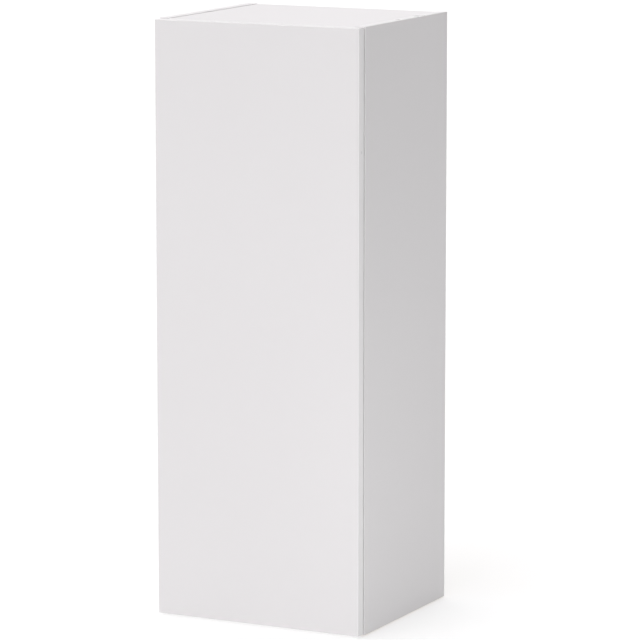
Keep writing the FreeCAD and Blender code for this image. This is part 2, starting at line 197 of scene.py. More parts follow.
# The core: flat wood chips of three tones, pressed and glued.
chips, chips_in, chips_out = new_group(
    "pressed_chips", [("Point", "Vector", None), ("Chip Scale", "Float", 420.0)],
    [("Color", "Color"), ("Height", "Float")])
chips_cell = put(chips, "ShaderNodeTexVoronoi", {"Vector": chips_in.outputs["Point"],
                                                 "Scale": chips_in.outputs["Chip Scale"]})
chips_tone = put(chips, "ShaderNodeValToRGB", {0: put(chips, "ShaderNodeSeparateColor",
                                                      {0: chips_cell.outputs["Color"]}).outputs[0]})
chips_stops = chips_tone.color_ramp.elements
chips_stops[0].color, chips_stops[1].color = (0.25, 0.15, 0.08, 1), (0.66, 0.50, 0.32, 1)
chips_stops.new(0.55).color = (0.48, 0.33, 0.19, 1)
chips.links.new(chips_tone.outputs["Color"], chips_out.inputs["Color"])
chips.links.new(chips_cell.outputs["Distance"], chips_out.inputs["Height"])


def start_material(name):
    """A new material, with its tree, its shader and the piece's own coordinates."""
    material = bpy.data.materials.new(name)
    material.use_nodes = True
    tree = material.node_tree
    point = put(tree, "ShaderNodeTexCoord").outputs["Object"]
    return material, tree, tree.nodes["Principled BSDF"], point


def coat(tree, shader, colour, roughness, height, distance=1.0):
    """Gives the shader its colour, its roughness and the height of its surface, in metres."""
    bump = put(tree, "ShaderNodeBump", {"Height": height, "Distance": distance})
    for label, source in (("Base Color", colour), ("Roughness", roughness), ("Normal", bump.outputs[0])):
        tree.links.new(source, shader.inputs[label])


def use_group(tree, group, point, **values):
    """The named outputs of a group. An underscore in a value's name stands for a space."""
    node = put(tree, "ShaderNodeGroup", {}, node_tree=group)
    tree.links.new(point, node.inputs["Point"])
    for key, value in values.items():
        node.inputs[key.replace("_", " ")].default_value = value
    return node.outputs


def melamine(board, thin):
    """White film on the two faces across axis number thin, and pressed chips on the rest."""
    low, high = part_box(board)
    material, tree, shader, point = start_material(board + "_melamine")
    skin = use_group(tree, film, point)
    worn = use_group(tree, rubbed, point, Low=low, High=high, Reach=0.0018)
    core = use_group(tree, chips, point)
    across = put(tree, "ShaderNodeSeparateXYZ", {0: point}).outputs[thin]
    film_thick = 0.0003
    inside = reckon(tree, "MULTIPLY", reckon(tree, "GREATER_THAN", across, low[thin] + film_thick),
                    reckon(tree, "LESS_THAN", across, high[thin] - film_thick))
    cloudy = between(tree, skin["Cloud"], (0.812, 0.796, 0.804, 1), (0.836, 0.822, 0.829, 1), colour=True)
    wear = reckon(tree, "MULTIPLY", worn["Mask"], 0.07)
    white = between(tree, wear, cloudy, (0.66, 0.63, 0.61, 1), colour=True)
    satin = reckon(tree, "ADD", spread(tree, skin["Cloud"], 0.3, 0.7, 0.38, 0.46),
                   reckon(tree, "MULTIPLY", skin["Scuff"], -0.07))
    relief = between(tree, inside, reckon(tree, "MULTIPLY", skin["Peel"], 0.000012),
                     reckon(tree, "MULTIPLY", core["Height"], 0.0004))
    coat(tree, shader, between(tree, inside, white, core["Color"], colour=True),
         between(tree, inside, satin, 0.9), relief)
    return material


def finish_node(node, material):
    """The CAD part keeps its own shape and takes the material."""
    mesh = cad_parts[node].data
    mesh.materials.clear()
    mesh.materials.append(material)


for board, thin in (("side_panel_left", 0), ("side_panel_right", 0), ("top_panel", 2), ("bottom_panel", 2),
                    ("base_rail_front", 1), ("base_rail_back", 1)):
    finish_node(board, melamine(board, thin))


# ---- edge bands ---------------------------------------------------------------------------
# White ABS strip, 1 mm thick, glued on the visible edges and rounded over by the trimmer.
# It is a touch glossier than the film, with fine planing marks along its length.
def abs_band(strip):
    low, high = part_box(strip)
    material, tree, shader, point = start_material(strip + "_abs")
    skin = use_group(tree, film, point, Peel_Scale=900.0, Cloud_Scale=9.0)
    worn = use_group(tree, rubbed, point, Low=low, High=high, Reach=0.0012)
    cloudy = between(tree, skin["Cloud"], (0.905, 0.892, 0.898, 1), (0.925, 0.914, 0.919, 1), colour=True)
    wear = reckon(tree, "MULTIPLY", worn["Mask"], 0.05)
    white = between(tree, wear, cloudy, (0.66, 0.63, 0.60, 1), colour=True)
    planing = put(tree, "ShaderNodeTexWave", {"Vector": point, "Scale": 160.0, "Distortion": 2.0,
                                              "Detail": 2.0}, bands_direction="DIAGONAL")
    relief = reckon(tree, "ADD", reckon(tree, "MULTIPLY", skin["Peel"], 0.000003),
                    reckon(tree, "MULTIPLY", planing.outputs["Fac"], 0.0000015))
    coat(tree, shader, white, spread(tree, skin["Cloud"], 0.3, 0.7, 0.27, 0.35), relief)
    return material


for strip in ("side_bands_front", "side_bands_top", "panel_bands"):
    finish_node(strip, abs_band(strip))


# ---- back sheet ---------------------------------------------------------------------------
# Hardboard, 3 mm, lacquered white on the face that shows inside. The rough side, with the
# weave of the press screen, faces the wall. It slides in grooves in all four boards.
hardboard, tree, shader, point = start_material("back_hardboard")
sheet_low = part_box("back_panel")[0]
skin = use_group(tree, film, point, Peel_Scale=600.0, Cloud_Scale=6.0)
fibre_long = put(tree, "ShaderNodeMapping", {"Vector": point, "Rotation": (0.0, 0.6, 0.0),
                                             "Scale": (700, 700, 160)})
fibre = put(tree, "ShaderNodeTexNoise", {"Vector": fibre_long.outputs[0], "Scale": 1.0, "Detail": 4.0})
brown = between(tree, fibre.outputs["Fac"], (0.15, 0.085, 0.042, 1), (0.36, 0.235, 0.135, 1), colour=True)
cloudy_brown = between(tree, reckon(tree, "MULTIPLY", skin["Cloud"], 0.5), brown, (0.30, 0.19, 0.11, 1),
                       colour=True)
screen = [put(tree, "ShaderNodeTexWave", {"Vector": point, "Scale": 300.0},
              bands_direction=way).outputs["Fac"] for way in ("X", "Z")]
rough_side = reckon(tree, "GREATER_THAN", put(tree, "ShaderNodeSeparateXYZ", {0: point}).outputs[1],
                    sheet_low[1] + 0.0004)
weave = reckon(tree, "ADD", reckon(tree, "MULTIPLY", reckon(tree, "MULTIPLY", *screen), 0.00018),
               reckon(tree, "MULTIPLY", fibre.outputs["Fac"], 0.0001))
coat(tree, shader, between(tree, rough_side, (0.80, 0.79, 0.79, 1), cloudy_brown, colour=True),
     between(tree, rough_side, spread(tree, skin["Cloud"], 0.3, 0.7, 0.42, 0.55), 0.82),
     between(tree, rough_side, reckon(tree, "MULTIPLY", skin["Peel"], 0.00002), weave))
finish_node("back_panel", hardboard)


# ---- dowels -------------------------------------------------------------------------------
# Fluted beech pins, 8 mm, glued between the side panels and the boards and rails. One dowel
# is made by its rule, with chamfered ends, and stands in every hole. All of them lie along X.
def fit_piece(name, mesh, body, slot, *nodes):
    """A finished mesh as a piece that rides on its body and stands for the CAD parts."""
    piece = bpy.data.objects.new(name, mesh)
    scene.collection.objects.link(piece)
    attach(piece, body)
    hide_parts(*nodes)
    return piece


def new_rule(name, inputs):
    """A Geometry Nodes tree with named inputs, its input node and its output socket."""
    rule = bpy.data.node_groups.new(name, "GeometryNodeTree")
    rule.is_modifier = True
    for label, kind in inputs:
        rule.interface.new_socket(label, in_out="INPUT", socket_type="NodeSocket" + kind)
    rule.interface.new_socket("Geometry", in_out="OUTPUT", socket_type="NodeSocketGeometry")
    return rule, rule.nodes.new("NodeGroupInput").outputs, rule.nodes.new("NodeGroupOutput").inputs[0]


def marks(places):
    """Loose points, each with the way its piece faces and how far it is turned."""
    mesh = bpy.data.meshes.new("marks")
    mesh.from_pydata([place for place, way, turn in places], [], [])
    mesh.attributes.new("facing", "FLOAT_VECTOR", "POINT")
    mesh.attributes.new("turned", "FLOAT", "POINT")
    for i, (place, way, turn) in enumerate(places):
        mesh.attributes["facing"].data[i].vector = way
        mesh.attributes["turned"].data[i].value = turn
    return mesh


def made_by(rule, start, sharp=35.0, **sizes):
    """The rule's result on a start mesh, as a plain mesh."""
    maker = bpy.data.objects.new("maker", start)
    scene.collection.objects.link(maker)
    modifier = maker.modifiers.new("rule", "NODES")
    modifier.node_group = rule
    for socket in rule.interface.items_tree:
        key = socket.name.replace(" ", "_")
        if socket.in_out == "INPUT" and key in sizes:
            modifier[socket.identifier] = sizes[key]
    bpy.context.view_layer.update()
    seen = maker.evaluated_get(bpy.context.evaluated_depsgraph_get())
    mesh = bpy.data.meshes.new_from_object(seen)
    maker.modifiers.remove(modifier)
    bpy.data.objects.remove(maker)
    mesh.shade_smooth()
    mesh.set_sharp_from_angle(angle=math.radians(sharp))
    return mesh


def set_out(rule, inputs, output, one):
    """Ends a rule: one stands at each mark, faces its way, and takes the finish."""
    way = put(rule, "GeometryNodeInputNamedAttribute", {"Name": "facing"}, data_type="FLOAT_VECTOR")
    turn = put(rule, "GeometryNodeInputNamedAttribute", {"Name": "turned"}, data_type="FLOAT").outputs[0]
    faced = put(rule, "FunctionNodeAlignRotationToVector", {"Vector": way.outputs[0]}, axis="Z")
    spun = put(rule, "FunctionNodeRotateRotation", {"Rotation": faced.outputs[0]}, rotation_space="LOCAL")
    rule.links.new(put(rule, "ShaderNodeCombineXYZ", {"Z": turn}).outputs[0], spun.inputs[1])
    copies = put(rule, "GeometryNodeInstanceOnPoints", {"Points": inputs["Marks"], "Instance": one,
                                                        "Rotation": spun.outputs[0]})
    real = put(rule, "GeometryNodeRealizeInstances", {0: copies.outputs[0]})
    coated = put(rule, "GeometryNodeSetMaterial", {"Geometry": real.outputs[0], "Material": inputs["Finish"]})
    rule.links.new(coated.outputs[0], output)


# Grain: long fibres along one direction, with darker late wood and short flecks.
grain, grain_in, grain_out = new_group(
    "wood_grain", [("Point", "Vector", None), ("Stretch", "Vector", (12.0, 260.0, 260.0))],
    [("Late", "Float"), ("Fleck", "Float")])
grain_long = put(grain, "ShaderNodeVectorMath", {0: grain_in.outputs["Point"],
                                                 1: grain_in.outputs["Stretch"]}, operation="MULTIPLY")
for grain_sort, grain_scale, grain_detail in (("Late", 1.0, 3.0), ("Fleck", 9.0, 1.0)):
    grain_noise = put(grain, "ShaderNodeTexNoise", {"Vector": grain_long.outputs[0], "Scale": grain_scale,
                                                    "Detail": grain_detail})
    grain.links.new(grain_noise.outputs["Fac"], grain_out.inputs[grain_sort])

beech, tree, shader, point = start_material("beech")
wood = use_group(tree, grain, point)
coat(tree, shader, between(tree, wood["Late"], (0.62, 0.44, 0.27, 1), (0.44, 0.28, 0.15, 1), colour=True),
     spread(tree, wood["Fleck"], 0.3, 0.7, 0.55, 0.75), wood["Fleck"], 0.0001)

fluted, fluted_in, fluted_end = new_rule("fluted_dowel", [("Marks", "Geometry"), ("Radius", "Float"),
                                                          ("Length", "Float"), ("Flute Depth", "Float"),
                                                          ("Flutes", "Int"), ("Finish", "Material")])
dowel_round = put(fluted, "GeometryNodeMeshCylinder", {
    "Vertices": 48, "Side Segments": 6, "Radius": fluted_in["Radius"], "Depth": fluted_in["Length"]},
    fill_type="TRIANGLE_FAN")
dowel_at = put(fluted, "GeometryNodeInputPosition")
dowel_axis = put(fluted, "ShaderNodeSeparateXYZ", {0: dowel_at.outputs[0]}).outputs
dowel_angle = reckon(fluted, "ARCTAN2", dowel_axis[1], dowel_axis[0])
dowel_swing = reckon(fluted, "MULTIPLY", dowel_angle, reckon(fluted, "DIVIDE", fluted_in["Flutes"], 2.0))
dowel_wave = reckon(fluted, "ABSOLUTE", reckon(fluted, "SINE", dowel_swing))
dowel_deep = reckon(fluted, "MULTIPLY", reckon(fluted, "SUBTRACT", 1.0, dowel_wave), fluted_in["Flute Depth"])
dowel_share = reckon(fluted, "SUBTRACT", 1.0, reckon(fluted, "DIVIDE", dowel_deep, fluted_in["Radius"]))
dowel_end = reckon(fluted, "GREATER_THAN", reckon(fluted, "ABSOLUTE", dowel_axis[2]),
                   reckon(fluted, "MULTIPLY", fluted_in["Length"], 0.49))
dowel_cut = put(fluted, "GeometryNodeSwitch", {"Switch": dowel_end, "False": dowel_share, "True": 0.82},
                input_type="FLOAT").outputs[0]
dowel_new = put(fluted, "ShaderNodeCombineXYZ", {0: reckon(fluted, "MULTIPLY", dowel_axis[0], dowel_cut),
                                                 1: reckon(fluted, "MULTIPLY", dowel_axis[1], dowel_cut),
                                                 2: dowel_axis[2]})
dowel_set = put(fluted, "GeometryNodeSetPosition", {"Geometry": dowel_round.outputs[0],
                                                    "Position": dowel_new.outputs[0]})
set_out(fluted, fluted_in, fluted_end, dowel_set.outputs[0])

x_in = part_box("top_panel")[1].x
y_case, y_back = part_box("side_bands_front")[0].y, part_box("side_panel_left")[1].y
board_middles = [sum(c.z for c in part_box(board)) / 2 for board in ("top_panel", "bottom_panel")]
dowel_in, dowel_front, dowel_back = 0.007, 0.117, 0.063
dowel_places = [(s * (x_in - dowel_in), y, z) for s in (-1, 1) for z in board_middles
                for y in (y_case + dowel_front, y_back - dowel_back)]
for rail in ("base_rail_front", "base_rail_back"):
    rail_middle = sum(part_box(rail), Vector()) / 2
    dowel_places += [(s * (x_in - dowel_in), rail_middle.y, rail_middle.z) for s in (-1, 1)]
dowel_mesh = made_by(fluted, marks([(place, (1, 0, 0), 0.4 * i) for i, place in enumerate(dowel_places)]),
                     Radius=0.004, Length=0.034, Flute_Depth=0.00035, Flutes=16, Finish=beech)
fit_piece("fluted_dowels", dowel_mesh, "carcass", "beech", "dowels")


# ---- cam fasteners ------------------------------------------------------------------------
# Die-cast zinc cams with a cross slot, turned from below, draw in steel bolts that screw into
# the side panels. White snap caps cover the cams under the top panel.
# Handling: soft smudges, fine random scratches, and the casting's or mould's own skin.
handled, handled_in, handled_out = new_group(
    "handled_surface", [("Point", "Vector", None), ("Smudge Scale", "Float", 40.0),
                        ("Skin Scale", "Float", 900.0)],
    [("Smudge", "Float"), ("Scratch", "Float"), ("Skin", "Float")])
for handled_sort, handled_detail in (("Smudge", 4.0), ("Skin", 2.0)):
    handled_noise = put(handled, "ShaderNodeTexNoise", {
        "Vector": handled_in.outputs["Point"], "Scale": handled_in.outputs[handled_sort + " Scale"],
        "Detail": handled_detail})
    handled.links.new(handled_noise.outputs["Fac"], handled_out.inputs[handled_sort])
scratch_ways = []
for scratch_turn, scratch_size in (((0.4, 0.2, 0.9), (1800, 1800, 45)), ((1.1, 0.7, 0.1), (1500, 60, 1500))):
    scratch_long = put(handled, "ShaderNodeMapping", {"Vector": handled_in.outputs["Point"],
                                                      "Rotation": scratch_turn, "Scale": scratch_size})
    scratch_line = put(handled, "ShaderNodeTexNoise", {"Vector": scratch_long.outputs[0], "Scale": 1.0,
                                                       "Detail": 1.0})
    scratch_ways.append(spread(handled, scratch_line.outputs["Fac"], 0.68, 0.76))
handled.links.new(reckon(handled, "MAXIMUM", *scratch_ways), handled_out.inputs["Scratch"])


def metal(name, light, dark, smooth, rough, skin_height=0.000004, smudge_scale=40.0):
    """Bare or plated metal that goes from light and smooth to dark and rough in its smudges."""
    material, tree, shader, point = start_material(name)
    marks_on = use_group(tree, handled, point, Smudge_Scale=smudge_scale)
    smudge = spread(tree, marks_on["Smudge"], 0.35, 0.65)
    plain = between(tree, smudge, (*light, 1), (*dark, 1), colour=True)
    scratched = reckon(tree, "MULTIPLY", marks_on["Scratch"], 0.35)
    tone = between(tree, scratched, plain, (0.85, 0.85, 0.86, 1), colour=True)
    polish = reckon(tree, "ADD", spread(tree, smudge, 0, 1, smooth, rough),
                    reckon(tree, "MULTIPLY", marks_on["Scratch"], 0.12))
    relief = reckon(tree, "SUBTRACT", reckon(tree, "MULTIPLY", marks_on["Skin"], skin_height),
                    reckon(tree, "MULTIPLY", marks_on["Scratch"], 0.000003))
    coat(tree, shader, tone, polish, relief)
    shader.inputs["Metallic"].default_value = 1.0
    return material


def moulded(name, light, dark, smooth, rough, skin_height=0.000012):
    """Moulded plastic with a faintly sparked skin, a cloudy tone and light scratches."""
    material, tree, shader, point = start_material(name)
    marks_on = use_group(tree, handled, point, Smudge_Scale=60.0, Skin_Scale=1600.0)
    plain = between(tree, marks_on["Smudge"], (*light, 1), (*dark, 1), colour=True)
    pale = tuple(min(1.0, c * 1.25 + 0.03) for c in light)
    tone = between(tree, reckon(tree, "MULTIPLY", marks_on["Scratch"], 0.25), plain, (*pale, 1), colour=True)
    coat(tree, shader, tone, spread(tree, marks_on["Smudge"], 0.3, 0.7, smooth, rough),
         reckon(tree, "MULTIPLY", marks_on["Skin"], skin_height))
    return material


def eased(node, body, slot, material, round_by=0.0002, sharp=30.0):
    """The CAD part's own shape with its hard arrises eased, as tumbling or the mould leaves it."""
    work = bmesh.new()
    work.from_mesh(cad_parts[node].data)
    bmesh.ops.remove_doubles(work, verts=work.verts, dist=1e-6)
    bmesh.ops.dissolve_limit(work, angle_limit=math.radians(1.0), verts=work.verts, edges=work.edges,
                             use_dissolve_boundaries=False)
    if round_by:
        hard = [e for e in work.edges if len(e.link_faces) == 2 and e.calc_face_angle(0) > math.radians(50)]
        bmesh.ops.bevel(work, geom=hard, offset=round_by, segments=2, profile=0.5, affect="EDGES",
                        clamp_overlap=True)
        bmesh.ops.remove_doubles(work, verts=work.verts, dist=1e-7)
    bmesh.ops.triangulate(work, faces=[f for f in work.faces if len(f.verts) > 4])
    mesh = bpy.data.meshes.new(node + "_eased")
    work.to_mesh(mesh)
    work.free()
    mesh.shade_smooth()
    mesh.set_sharp_from_angle(angle=math.radians(sharp))
    mesh.materials.append(material)
    return fit_piece(node + "_eased", mesh, body, slot, node)


def turned(name, profile, segments=48):
    """A closed turned shape round Z, on a profile from its lowest point on the axis to its highest."""
    work = bmesh.new()
    rings = []
    steps = [math.tau * k / segments for k in range(segments)]
    for radius, z in profile:
        ring = [(radius * math.cos(step), radius * math.sin(step), z) for step in steps]
        rings.append([work.verts.new(corner) for corner in (ring if radius else [(0, 0, z)])])
    for a, b in zip(rings, rings[1:]):
        for k in range(segments):
            n = (k + 1) % segments
            corners = [a[k % len(a)], a[n % len(a)], b[n % len(b)], b[k % len(b)]]
            work.faces.new(list(dict.fromkeys(corners)))
    bmesh.ops.recalc_face_normals(work, faces=work.faces)
    mesh = bpy.data.meshes.new(name)
    work.to_mesh(mesh)
    work.free()
    blank = bpy.data.objects.new(name, mesh)
    scene.collection.objects.link(blank)
    return blank


# One rule sets out a turned blank at each mark. The blank itself is thrown away afterwards.
row_rule, row_in, row_end = new_rule("turned_row", [("Marks", "Geometry"), ("Blank", "Object"),
                                                    ("Scale", "Float"), ("Finish", "Material")])
row_blank = put(row_rule, "GeometryNodeObjectInfo", {"Object": row_in["Blank"]})
row_sized = put(row_rule, "GeometryNodeTransform", {"Geometry": row_blank.outputs["Geometry"]})
row_rule.links.new(row_in["Scale"], row_sized.inputs["Scale"])
set_out(row_rule, row_in, row_end, row_sized.outputs[0])


def row_of(blank, places, material):
    """A plain mesh with one turned blank at each place."""
    mesh = made_by(row_rule, marks(places), Blank=blank, Scale=1.0, Finish=material)
    bpy.data.objects.remove(blank)
    return mesh


cast_zinc = metal("cast_zinc", (0.56, 0.56, 0.57), (0.42, 0.42, 0.44), 0.42, 0.60, skin_height=0.00003)
zinc_steel = metal("zinc_steel", (0.66, 0.68, 0.72), (0.50, 0.53, 0.58), 0.24, 0.40)
cap_white = moulded("cap_white", (0.80, 0.79, 0.78), (0.76, 0.75, 0.74), 0.34, 0.46)
eased("cam_discs", "carcass", "cast_zinc", cast_zinc)
eased("cam_bolts", "carcass", "zinc_steel", zinc_steel, round_by=0.0)

z_top_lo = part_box("top_panel")[0].z
cam_in, cam_front, cam_back = 0.034, 0.085, 0.095
cap_places = [((s * (x_in - cam_in), y, z_top_lo), (0, 0, -1), 0) for s in (-1, 1)
              for y in (y_case + cam_front, y_back - cam_back)]
cap_blank = turned("cam_cap", [(0, 0), (0.0085, 0), (0.0085, 0.00055), (0.0083, 0.00085), (0.0079, 0.001),
                               (0.0066, 0.00094), (0.0062, 0.00082), (0.0058, 0.00094), (0, 0.00088)])
fit_piece("cam_snap_caps", row_of(cap_blank, cap_places, cap_white), "carcass", "cap_white", "cam_caps")


# ---- shelves and their pins -----------------------------------------------------------------
# Two loose shelves of the same board, with a banded front edge. Each rests on four nickelled
# pins with a flat on top, pushed into the rows of holes in the sides.
for shelf in ("shelf_lower", "shelf_upper"):
    finish_node(shelf, melamine(shelf, 2))
finish_node("shelf_bands", abs_band("shelf_bands"))
nickel = metal("nickel_steel", (0.74, 0.71, 0.66), (0.60, 0.57, 0.53), 0.16, 0.30)
eased("shelf_pins", "carcass", "nickel_steel", nickel)


# ---- screws -------------------------------------------------------------------------------
# Cross-recessed steel screws. A rule cuts the recess in a turned blank, winds the thread on
# its shank, and drives one at each mark, with its head's underside on the mark.
def lifted(rule, geometry, height):
    """The geometry, moved up."""
    up = put(rule, "ShaderNodeCombineXYZ", {"Z": height})
    return put(rule, "GeometryNodeTransform", {"Geometry": geometry, "Translation": up.outputs[0]}).outputs[0]


def wound(rule, radius, length, turns, wire, steps, sides=4):
    """A wire wound in a helix, with closed ends. steps make one turn, and sides go round the wire."""
    helix = put(rule, "GeometryNodeCurveSpiral", {
        "Resolution": steps, "Rotations": turns, "Start Radius": radius, "End Radius": radius,
        "Height": length})
    section = put(rule, "GeometryNodeCurvePrimitiveCircle", {"Resolution": sides, "Radius": wire})
    return put(rule, "GeometryNodeCurveToMesh", {
        "Curve": helix.outputs[0], "Profile Curve": section.outputs[0], "Fill Caps": True}).outputs[0]


def merged(rule, *shapes):
    """Several shapes of a rule as one."""
    whole = put(rule, "GeometryNodeJoinGeometry")
    for shape in shapes:
        rule.links.new(shape, whole.inputs[0])
    return whole.outputs[0]


screw_rule, screw_in, screw_end = new_rule("cross_screw", [
    ("Marks", "Geometry"), ("Blank", "Object"), ("Head Top", "Float"), ("Recess Width", "Float"),
    ("Recess Depth", "Float"), ("Thread Radius", "Float"), ("Thread Start", "Float"),
    ("Thread Length", "Float"), ("Turns", "Float"), ("Wire", "Float"), ("Finish", "Material")])
screw_blank = put(screw_rule, "GeometryNodeObjectInfo", {"Object": screw_in["Blank"]})
screw_deep = reckon(screw_rule, "MULTIPLY", screw_in["Recess Depth"], 2.0)
screw_slim = reckon(screw_rule, "MULTIPLY", screw_in["Recess Width"], 0.24)
screw_cut = put(screw_rule, "GeometryNodeMeshBoolean", {0: screw_blank.outputs["Geometry"]},
                operation="DIFFERENCE")
for slot_x, slot_y in ((screw_in["Recess Width"], screw_slim), (screw_slim, screw_in["Recess Width"])):
    slot_size = put(screw_rule, "ShaderNodeCombineXYZ", {0: slot_x, 1: slot_y, 2: screw_deep}).outputs[0]
    slot_block = put(screw_rule, "GeometryNodeMeshCube", {"Size": slot_size}).outputs[0]
    screw_rule.links.new(lifted(screw_rule, slot_block, screw_in["Head Top"]), screw_cut.inputs[1])
screw_thread = wound(screw_rule, screw_in["Thread Radius"], screw_in["Thread Length"], screw_in["Turns"],
                     screw_in["Wire"], steps=20)
set_out(screw_rule, screw_in, screw_end, merged(screw_rule, screw_cut.outputs[0],
                                                lifted(screw_rule, screw_thread, screw_in["Thread Start"])))


def screws(places, head, tall, shank, long, material, sunk=False, pointed=True):
    """Screws with a pan head, or a sunk one whose top is on the mark. The head's radius and height,
    the shank's radius and the screw's length are in millimetres."""
    core, tip = shank * 0.74, shank * 1.2 if pointed else shank * 0.15
    profile = [(0, -long), (core * (0.12 if pointed else 0.8), -long + 0.02), (core, -long + tip)]
    if sunk:
        profile += [(core, -tall), (head, -0.08), (head - 0.08, 0), (0, 0)]
    else:
        dome = ((0.97, 0), (1, 0.12), (1, 0.42), (0.95, 0.68), (0.84, 0.87), (0.68, 0.97), (0.5, 1), (0, 1))
        profile += [(core, 0)] + [(head * out, tall * up) for out, up in dome]
    blank = turned("screw_blank", [(r / 1000, z / 1000) for r, z in profile], 40)
    top, ridge = (0.0 if sunk else tall), shank - core
    run = long - tip - (tall if sunk else 0) - 1.0
    mesh = made_by(screw_rule, marks(places), Blank=blank, Head_Top=top / 1000,
                   Recess_Width=head * 1.15 / 1000, Recess_Depth=min(0.62 * tall, 1.3) / 1000,
                   Thread_Radius=(core + ridge * 0.05) / 1000,
                   Thread_Start=(-long + tip) / 1000, Thread_Length=run / 1000,
                   Turns=run / (shank * 0.62), Wire=ridge * 0.93 / 1000, Finish=material)
    bpy.data.objects.remove(blank)
    return mesh


# ---- levelling feet -------------------------------------------------------------------------
# Black nylon sockets are screwed under the bottom panel. Each guides a threaded steel spindle
# that stands in a ribbed nylon pad. A hex key reaches it from inside, through a capped hole.
nylon_black = moulded("nylon_black", (0.022, 0.022, 0.023), (0.012, 0.012, 0.013), 0.36, 0.52,
                      skin_height=0.00003)
eased("foot_sockets", "carcass", "nylon_black", nylon_black, round_by=0.0004)

foot_rows = [(row, hand) for row in ("front", "back") for hand in ("left", "right")]
foot_middles = {}
for row, hand in foot_rows:
    foot_middles[row, hand] = sum(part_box("foot_pad_%s_%s" % (row, hand)), Vector()) / 2
flange_thick, flange_screw_out = 0.004, 0.023
z_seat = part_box("bottom_panel")[0].z - flange_thick
socket_marks = [((at.x + dx, at.y, z_seat), (0, 0, -1), 0.7 * i + 9 * dx)
                for i, at in enumerate(foot_middles.values()) for dx in (-flange_screw_out, flange_screw_out)]
fit_piece("foot_socket_cross_screws", screws(socket_marks, 4.0, 2.4, 2.0, 16.0, zinc_steel), "carcass",
          "zinc_steel", "foot_socket_screws")

# The spindle: a helix wound on a core, with a hex socket in its top.
spindle_rule, spindle_in, spindle_end = new_rule("threaded_spindle", [
    ("Marks", "Geometry"), ("Radius", "Float"), ("Length", "Float"), ("Thread Depth", "Float"),
    ("Pitch", "Float"), ("Key Radius", "Float"), ("Key Depth", "Float"), ("Finish", "Material")])
spindle_core = reckon(spindle_rule, "SUBTRACT", spindle_in["Radius"], spindle_in["Thread Depth"])
spindle_half = reckon(spindle_rule, "MULTIPLY", spindle_in["Length"], 0.5)
spindle_round = put(spindle_rule, "GeometryNodeMeshCylinder", {"Vertices": 48, "Radius": spindle_core,
                                                               "Depth": spindle_in["Length"]})
spindle_key = put(spindle_rule, "GeometryNodeMeshCylinder", {
    "Vertices": 6, "Radius": spindle_in["Key Radius"],
    "Depth": reckon(spindle_rule, "MULTIPLY", spindle_in["Key Depth"], 2.0)})
spindle_bored = put(spindle_rule, "GeometryNodeMeshBoolean", {
    0: lifted(spindle_rule, spindle_round.outputs[0], spindle_half),
    1: lifted(spindle_rule, spindle_key.outputs[0], spindle_in["Length"])}, operation="DIFFERENCE")
spindle_run = reckon(spindle_rule, "SUBTRACT", spindle_in["Length"], spindle_in["Pitch"])
spindle_thread = wound(spindle_rule, spindle_core, spindle_run,
                       reckon(spindle_rule, "DIVIDE", spindle_run, spindle_in["Pitch"]),
                       reckon(spindle_rule, "MULTIPLY", spindle_in["Thread Depth"], 0.97), steps=32)
spindle_start = reckon(spindle_rule, "MULTIPLY", spindle_in["Pitch"], 0.5)
set_out(spindle_rule, spindle_in, spindle_end, merged(spindle_rule, spindle_bored.outputs[0],
                                                      lifted(spindle_rule, spindle_thread, spindle_start)))

# The pad: a turned disc with grip ribs set out round its rim.
pad_rule, pad_in, pad_end = new_rule("ribbed_pad", [
    ("Marks", "Geometry"), ("Blank", "Object"), ("Ribs", "Int"), ("Rim Radius", "Float"),
    ("Rib Size", "Vector"), ("Rib Height", "Float"), ("Finish", "Material")])
pad_blank = put(pad_rule, "GeometryNodeObjectInfo", {"Object": pad_in["Blank"]})
pad_circle = put(pad_rule, "GeometryNodeMeshCircle", {"Vertices": pad_in["Ribs"],
                                                      "Radius": pad_in["Rim Radius"]})
pad_rib = put(pad_rule, "GeometryNodeMeshCube", {"Size": pad_in["Rib Size"]})
pad_place = put(pad_rule, "GeometryNodeInputPosition").outputs[0]
pad_out = put(pad_rule, "FunctionNodeAlignRotationToVector", {"Vector": pad_place}, axis="X")
pad_ribs = put(pad_rule, "GeometryNodeInstanceOnPoints", {
    "Points": pad_circle.outputs[0], "Instance": pad_rib.outputs[0], "Rotation": pad_out.outputs[0]})
set_out(pad_rule, pad_in, pad_end, merged(pad_rule, pad_blank.outputs["Geometry"],
                                          lifted(pad_rule, pad_ribs.outputs[0], pad_in["Rib Height"])))

